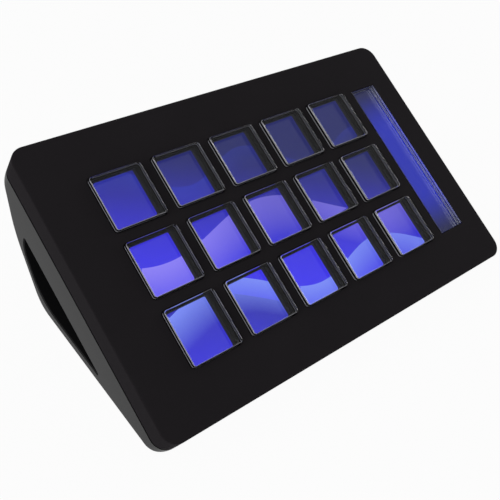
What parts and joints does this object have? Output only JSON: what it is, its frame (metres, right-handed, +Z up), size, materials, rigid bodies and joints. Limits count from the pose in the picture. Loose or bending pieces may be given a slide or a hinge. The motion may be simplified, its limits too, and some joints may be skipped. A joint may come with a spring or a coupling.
{
  "type": "stream controller",
  "caption": "Wedge-shaped desk keypad: clear push keys over one shared lit display, a lit side strip, and a base open from side to side.",
  "frame": {"origin": "on the table under the middle of the outline: bottom centre of the bounding box", "axes": "+X to the user's right along the key rows, +Y away from the user, +Z up"},
  "size_m": [0.182, 0.1084, 0.0539],
  "materials": {
    "cover_plastic": "fine matte texture",
    "base_plastic": "satin moulded",
    "key_acrylic": "clear polished",
    "lens_acrylic": "smoked polished",
    "black_tape": "matte",
    "black_foam": "matte",
    "silicone": "matte",
    "printed_foil": "satin film",
    "display_glass": "lit glossy",
    "backlight_box": "satin",
    "pressed_steel": "zinc plated",
    "circuit_board": "solder mask",
    "chip_epoxy": "matte",
    "connector_plastic": "satin",
    "ribbon_film": "satin film",
    "socket_steel": "satin",
    "screw_steel": "satin",
    "black_screw_steel": "black oxide",
    "foot_rubber": "matte"
  },
  "bodies": {
    "case": {"top_cover": "cover_plastic", "base_shell": "base_plastic", "strip_lens": "lens_acrylic", "lens_tape": "black_tape", "strip_foam": "black_foam", "key_mat": "silicone", "switch_foil": "printed_foil", "lcd_panel": "display_glass", "backlight": "backlight_box", "chassis_tray": "pressed_steel", "main_board": "circuit_board", "board_chips": "chip_epoxy", "ribbon_connectors": "connector_plastic", "display_ribbon": "ribbon_film", "key_ribbon": "ribbon_film", "usb_socket": "socket_steel", "tray_screws": "screw_steel", "board_screws": "screw_steel", "case_screws": "black_screw_steel", "rubber_feet": "foot_rubber"},
    "key_row1_col1": {"key_row1_col1": "key_acrylic"},
    "key_row1_col2": {"key_row1_col2": "key_acrylic"},
    "key_row1_col3": {"key_row1_col3": "key_acrylic"},
    "key_row1_col4": {"key_row1_col4": "key_acrylic"},
    "key_row1_col5": {"key_row1_col5": "key_acrylic"},
    "key_row2_col1": {"key_row2_col1": "key_acrylic"},
    "key_row2_col2": {"key_row2_col2": "key_acrylic"},
    "key_row2_col3": {"key_row2_col3": "key_acrylic"},
    "key_row2_col4": {"key_row2_col4": "key_acrylic"},
    "key_row2_col5": {"key_row2_col5": "key_acrylic"},
    "key_row3_col1": {"key_row3_col1": "key_acrylic"},
    "key_row3_col2": {"key_row3_col2": "key_acrylic"},
    "key_row3_col3": {"key_row3_col3": "key_acrylic"},
    "key_row3_col4": {"key_row3_col4": "key_acrylic"},
    "key_row3_col5": {"key_row3_col5": "key_acrylic"}
  },
  "joints": [
    {"name": "key_row1_col1_press", "type": "slide", "parent": "case", "child": "key_row1_col1", "axis": [0, 0.3584, -0.9336], "range_m": [0, 0.001], "stiffness_N_per_m": 600, "springref_m": -0.0005, "deforming": ["key_mat"]},
    {"name": "key_row1_col2_press", "type": "slide", "parent": "case", "child": "key_row1_col2", "axis": [0, 0.3584, -0.9336], "range_m": [0, 0.001], "stiffness_N_per_m": 600, "springref_m": -0.0005, "deforming": ["key_mat"]},
    {"name": "key_row1_col3_press", "type": "slide", "parent": "case", "child": "key_row1_col3", "axis": [0, 0.3584, -0.9336], "range_m": [0, 0.001], "stiffness_N_per_m": 600, "springref_m": -0.0005, "deforming": ["key_mat"]},
    {"name": "key_row1_col4_press", "type": "slide", "parent": "case", "child": "key_row1_col4", "axis": [0, 0.3584, -0.9336], "range_m": [0, 0.001], "stiffness_N_per_m": 600, "springref_m": -0.0005, "deforming": ["key_mat"]},
    {"name": "key_row1_col5_press", "type": "slide", "parent": "case", "child": "key_row1_col5", "axis": [0, 0.3584, -0.9336], "range_m": [0, 0.001], "stiffness_N_per_m": 600, "springref_m": -0.0005, "deforming": ["key_mat"]},
    {"name": "key_row2_col1_press", "type": "slide", "parent": "case", "child": "key_row2_col1", "axis": [0, 0.3584, -0.9336], "range_m": [0, 0.001], "stiffness_N_per_m": 600, "springref_m": -0.0005, "deforming": ["key_mat"]},
    {"name": "key_row2_col2_press", "type": "slide", "parent": "case", "child": "key_row2_col2", "axis": [0, 0.3584, -0.9336], "range_m": [0, 0.001], "stiffness_N_per_m": 600, "springref_m": -0.0005, "deforming": ["key_mat"]},
    {"name": "key_row2_col3_press", "type": "slide", "parent": "case", "child": "key_row2_col3", "axis": [0, 0.3584, -0.9336], "range_m": [0, 0.001], "stiffness_N_per_m": 600, "springref_m": -0.0005, "deforming": ["key_mat"]},
    {"name": "key_row2_col4_press", "type": "slide", "parent": "case", "child": "key_row2_col4", "axis": [0, 0.3584, -0.9336], "range_m": [0, 0.001], "stiffness_N_per_m": 600, "springref_m": -0.0005, "deforming": ["key_mat"]},
    {"name": "key_row2_col5_press", "type": "slide", "parent": "case", "child": "key_row2_col5", "axis": [0, 0.3584, -0.9336], "range_m": [0, 0.001], "stiffness_N_per_m": 600, "springref_m": -0.0005, "deforming": ["key_mat"]},
    {"name": "key_row3_col1_press", "type": "slide", "parent": "case", "child": "key_row3_col1", "axis": [0, 0.3584, -0.9336], "range_m": [0, 0.001], "stiffness_N_per_m": 600, "springref_m": -0.0005, "deforming": ["key_mat"]},
    {"name": "key_row3_col2_press", "type": "slide", "parent": "case", "child": "key_row3_col2", "axis": [0, 0.3584, -0.9336], "range_m": [0, 0.001], "stiffness_N_per_m": 600, "springref_m": -0.0005, "deforming": ["key_mat"]},
    {"name": "key_row3_col3_press", "type": "slide", "parent": "case", "child": "key_row3_col3", "axis": [0, 0.3584, -0.9336], "range_m": [0, 0.001], "stiffness_N_per_m": 600, "springref_m": -0.0005, "deforming": ["key_mat"]},
    {"name": "key_row3_col4_press", "type": "slide", "parent": "case", "child": "key_row3_col4", "axis": [0, 0.3584, -0.9336], "range_m": [0, 0.001], "stiffness_N_per_m": 600, "springref_m": -0.0005, "deforming": ["key_mat"]},
    {"name": "key_row3_col5_press", "type": "slide", "parent": "case", "child": "key_row3_col5", "axis": [0, 0.3584, -0.9336], "range_m": [0, 0.001], "stiffness_N_per_m": 600, "springref_m": -0.0005, "deforming": ["key_mat"]}
  ]
}
